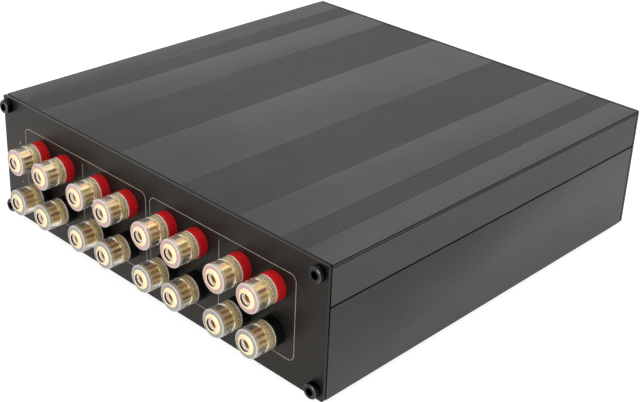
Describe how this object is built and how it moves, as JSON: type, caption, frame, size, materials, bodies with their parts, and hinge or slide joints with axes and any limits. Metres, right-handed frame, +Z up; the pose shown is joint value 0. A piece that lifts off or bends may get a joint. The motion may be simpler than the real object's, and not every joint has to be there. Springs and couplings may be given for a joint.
{
  "type": "speaker selector switch",
  "caption": "Flat ribbed metal case with two rows of red and black binding posts on its back and rotary selectors on its front, which joins amplifiers to loudspeakers.",
  "frame": {"origin": "on the floor under the middle of the whole object", "axes": "+X to the right seen from behind, +Y towards the front with the selectors, +Z up"},
  "size_m": [0.195, 0.2278, 0.0589],
  "materials": {
    "ribbed_shell": "fine black-grey anodised, satin, with lengthwise ribs",
    "plain_shell": "black-grey anodised, satin",
    "end_panel": "black anodised, fine grain",
    "black_steel": "black oxide",
    "foot_rubber": "matt",
    "red_plastic": "moulded, gloss",
    "black_plastic": "moulded, gloss",
    "gilt_brass": "gilt, bright",
    "washer_plastic": "moulded",
    "plain_brass": "turned",
    "circuit_board": "solder resist over epoxy glass",
    "copper": "bare copper strip",
    "switch_plastic": "moulded",
    "wafer_laminate": "paper laminate",
    "rotor_plastic": "moulded",
    "bright_steel": "nickel plated",
    "knob_aluminium": "black anodised, turned",
    "clear_sleeve": "clear moulded"
  },
  "bodies": {
    "root": {"top_shell": "ribbed_shell", "bottom_shell": "plain_shell", "rear_panel": "end_panel", "front_panel": "end_panel", "rear_screws": "black_steel", "front_screws": "black_steel", "rubber_feet": "foot_rubber", "red_bases": "red_plastic", "black_bases": "black_plastic", "post_studs": "gilt_brass", "inner_insulators": "washer_plastic", "post_nuts": "plain_brass", "terminal_board": "circuit_board", "main_board": "circuit_board", "board_links": "copper", "housing_left": "switch_plastic", "housing_right": "switch_plastic", "wafer_left": "wafer_laminate", "wafer_right": "wafer_laminate", "bushing_nuts": "bright_steel", "bushing_washers": "bright_steel"},
    "selector_left": {"rotor_left": "rotor_plastic", "shaft_left": "bright_steel", "knob_left": "knob_aluminium"},
    "selector_right": {"rotor_right": "rotor_plastic", "shaft_right": "bright_steel", "knob_right": "knob_aluminium"},
    "slide_red_1": {"sleeve_red_1": "clear_sleeve"},
    "screw_red_1": {"nut_red_1": "gilt_brass"},
    "slide_red_2": {"sleeve_red_2": "clear_sleeve"},
    "screw_red_2": {"nut_red_2": "gilt_brass"},
    "slide_red_3": {"sleeve_red_3": "clear_sleeve"},
    "screw_red_3": {"nut_red_3": "gilt_brass"},
    "slide_red_4": {"sleeve_red_4": "clear_sleeve"},
    "screw_red_4": {"nut_red_4": "gilt_brass"},
    "slide_red_5": {"sleeve_red_5": "clear_sleeve"},
    "screw_red_5": {"nut_red_5": "gilt_brass"},
    "slide_red_6": {"sleeve_red_6": "clear_sleeve"},
    "screw_red_6": {"nut_red_6": "gilt_brass"},
    "slide_red_7": {"sleeve_red_7": "clear_sleeve"},
    "screw_red_7": {"nut_red_7": "gilt_brass"},
    "slide_red_8": {"sleeve_red_8": "clear_sleeve"},
    "screw_red_8": {"nut_red_8": "gilt_brass"},
    "slide_black_1": {"sleeve_black_1": "clear_sleeve"},
    "screw_black_1": {"nut_black_1": "gilt_brass"},
    "slide_black_2": {"sleeve_black_2": "clear_sleeve"},
    "screw_black_2": {"nut_black_2": "gilt_brass"},
    "slide_black_3": {"sleeve_black_3": "clear_sleeve"},
    "screw_black_3": {"nut_black_3": "gilt_brass"},
    "slide_black_4": {"sleeve_black_4": "clear_sleeve"},
    "screw_black_4": {"nut_black_4": "gilt_brass"},
    "slide_black_5": {"sleeve_black_5": "clear_sleeve"},
    "screw_black_5": {"nut_black_5": "gilt_brass"},
    "slide_black_6": {"sleeve_black_6": "clear_sleeve"},
    "screw_black_6": {"nut_black_6": "gilt_brass"},
    "slide_black_7": {"sleeve_black_7": "clear_sleeve"},
    "screw_black_7": {"nut_black_7": "gilt_brass"},
    "slide_black_8": {"sleeve_black_8": "clear_sleeve"},
    "screw_black_8": {"nut_black_8": "gilt_brass"}
  },
  "joints": [
    {"name": "turn_left", "type": "hinge", "parent": "root", "child": "selector_left", "pos_m": [0.046, 0.09992, 0.03095], "axis": [0, 1, 0], "range_deg": [-30, 30]},
    {"name": "turn_right", "type": "hinge", "parent": "root", "child": "selector_right", "pos_m": [-0.046, 0.09992, 0.03095], "axis": [0, 1, 0], "range_deg": [-30, 30]},
    {"name": "travel_red_1", "type": "slide", "parent": "root", "child": "slide_red_1", "axis": [0, -1, 0], "range_m": [0, 0.004]},
    {"name": "unscrew_red_1", "type": "hinge", "parent": "slide_red_1", "child": "screw_red_1", "pos_m": [-0.07005, -0.09938, 0.0402], "axis": [0, -1, 0], "range_deg": [0, 1800]},
    {"name": "travel_red_2", "type": "slide", "parent": "root", "child": "slide_red_2", "axis": [0, -1, 0], "range_m": [0, 0.004]},
    {"name": "unscrew_red_2", "type": "hinge", "parent": "slide_red_2", "child": "screw_red_2", "pos_m": [-0.05245, -0.09938, 0.0402], "axis": [0, -1, 0], "range_deg": [0, 1800]},
    {"name": "travel_red_3", "type": "slide", "parent": "root", "child": "slide_red_3", "axis": [0, -1, 0], "range_m": [0, 0.004]},
    {"name": "unscrew_red_3", "type": "hinge", "parent": "slide_red_3", "child": "screw_red_3", "pos_m": [-0.02855, -0.09938, 0.0402], "axis": [0, -1, 0], "range_deg": [0, 1800]},
    {"name": "travel_red_4", "type": "slide", "parent": "root", "child": "slide_red_4", "axis": [0, -1, 0], "range_m": [0, 0.004]},
    {"name": "unscrew_red_4", "type": "hinge", "parent": "slide_red_4", "child": "screw_red_4", "pos_m": [-0.01095, -0.09938, 0.0402], "axis": [0, -1, 0], "range_deg": [0, 1800]},
    {"name": "travel_red_5", "type": "slide", "parent": "root", "child": "slide_red_5", "axis": [0, -1, 0], "range_m": [0, 0.004]},
    {"name": "unscrew_red_5", "type": "hinge", "parent": "slide_red_5", "child": "screw_red_5", "pos_m": [0.01295, -0.09938, 0.0402], "axis": [0, -1, 0], "range_deg": [0, 1800]},
    {"name": "travel_red_6", "type": "slide", "parent": "root", "child": "slide_red_6", "axis": [0, -1, 0], "range_m": [0, 0.004]},
    {"name": "unscrew_red_6", "type": "hinge", "parent": "slide_red_6", "child": "screw_red_6", "pos_m": [0.03055, -0.09938, 0.0402], "axis": [0, -1, 0], "range_deg": [0, 1800]},
    {"name": "travel_red_7", "type": "slide", "parent": "root", "child": "slide_red_7", "axis": [0, -1, 0], "range_m": [0, 0.004]},
    {"name": "unscrew_red_7", "type": "hinge", "parent": "slide_red_7", "child": "screw_red_7", "pos_m": [0.05445, -0.09938, 0.0402], "axis": [0, -1, 0], "range_deg": [0, 1800]},
    {"name": "travel_red_8", "type": "slide", "parent": "root", "child": "slide_red_8", "axis": [0, -1, 0], "range_m": [0, 0.004]},
    {"name": "unscrew_red_8", "type": "hinge", "parent": "slide_red_8", "child": "screw_red_8", "pos_m": [0.07205, -0.09938, 0.0402], "axis": [0, -1, 0], "range_deg": [0, 1800]},
    {"name": "travel_black_1", "type": "slide", "parent": "root", "child": "slide_black_1", "axis": [0, -1, 0], "range_m": [0, 0.004]},
    {"name": "unscrew_black_1", "type": "hinge", "parent": "slide_black_1", "child": "screw_black_1", "pos_m": [-0.07005, -0.09938, 0.0213], "axis": [0, -1, 0], "range_deg": [0, 1800]},
    {"name": "travel_black_2", "type": "slide", "parent": "root", "child": "slide_black_2", "axis": [0, -1, 0], "range_m": [0, 0.004]},
    {"name": "unscrew_black_2", "type": "hinge", "parent": "slide_black_2", "child": "screw_black_2", "pos_m": [-0.05245, -0.09938, 0.0213], "axis": [0, -1, 0], "range_deg": [0, 1800]},
    {"name": "travel_black_3", "type": "slide", "parent": "root", "child": "slide_black_3", "axis": [0, -1, 0], "range_m": [0, 0.004]},
    {"name": "unscrew_black_3", "type": "hinge", "parent": "slide_black_3", "child": "screw_black_3", "pos_m": [-0.02855, -0.09938, 0.0213], "axis": [0, -1, 0], "range_deg": [0, 1800]},
    {"name": "travel_black_4", "type": "slide", "parent": "root", "child": "slide_black_4", "axis": [0, -1, 0], "range_m": [0, 0.004]},
    {"name": "unscrew_black_4", "type": "hinge", "parent": "slide_black_4", "child": "screw_black_4", "pos_m": [-0.01095, -0.09938, 0.0213], "axis": [0, -1, 0], "range_deg": [0, 1800]},
    {"name": "travel_black_5", "type": "slide", "parent": "root", "child": "slide_black_5", "axis": [0, -1, 0], "range_m": [0, 0.004]},
    {"name": "unscrew_black_5", "type": "hinge", "parent": "slide_black_5", "child": "screw_black_5", "pos_m": [0.01295, -0.09938, 0.0213], "axis": [0, -1, 0], "range_deg": [0, 1800]},
    {"name": "travel_black_6", "type": "slide", "parent": "root", "child": "slide_black_6", "axis": [0, -1, 0], "range_m": [0, 0.004]},
    {"name": "unscrew_black_6", "type": "hinge", "parent": "slide_black_6", "child": "screw_black_6", "pos_m": [0.03055, -0.09938, 0.0213], "axis": [0, -1, 0], "range_deg": [0, 1800]},
    {"name": "travel_black_7", "type": "slide", "parent": "root", "child": "slide_black_7", "axis": [0, -1, 0], "range_m": [0, 0.004]},
    {"name": "unscrew_black_7", "type": "hinge", "parent": "slide_black_7", "child": "screw_black_7", "pos_m": [0.05445, -0.09938, 0.0213], "axis": [0, -1, 0], "range_deg": [0, 1800]},
    {"name": "travel_black_8", "type": "slide", "parent": "root", "child": "slide_black_8", "axis": [0, -1, 0], "range_m": [0, 0.004]},
    {"name": "unscrew_black_8", "type": "hinge", "parent": "slide_black_8", "child": "screw_black_8", "pos_m": [0.07205, -0.09938, 0.0213], "axis": [0, -1, 0], "range_deg": [0, 1800]}
  ],
  "couplings": [
    {"joint": "unscrew_red_1", "follows": "travel_red_1", "rad_per_m": 7854},
    {"joint": "unscrew_red_2", "follows": "travel_red_2", "rad_per_m": 7854},
    {"joint": "unscrew_red_3", "follows": "travel_red_3", "rad_per_m": 7854},
    {"joint": "unscrew_red_4", "follows": "travel_red_4", "rad_per_m": 7854},
    {"joint": "unscrew_red_5", "follows": "travel_red_5", "rad_per_m": 7854},
    {"joint": "unscrew_red_6", "follows": "travel_red_6", "rad_per_m": 7854},
    {"joint": "unscrew_red_7", "follows": "travel_red_7", "rad_per_m": 7854},
    {"joint": "unscrew_red_8", "follows": "travel_red_8", "rad_per_m": 7854},
    {"joint": "unscrew_black_1", "follows": "travel_black_1", "rad_per_m": 7854},
    {"joint": "unscrew_black_2", "follows": "travel_black_2", "rad_per_m": 7854},
    {"joint": "unscrew_black_3", "follows": "travel_black_3", "rad_per_m": 7854},
    {"joint": "unscrew_black_4", "follows": "travel_black_4", "rad_per_m": 7854},
    {"joint": "unscrew_black_5", "follows": "travel_black_5", "rad_per_m": 7854},
    {"joint": "unscrew_black_6", "follows": "travel_black_6", "rad_per_m": 7854},
    {"joint": "unscrew_black_7", "follows": "travel_black_7", "rad_per_m": 7854},
    {"joint": "unscrew_black_8", "follows": "travel_black_8", "rad_per_m": 7854}
  ]
}
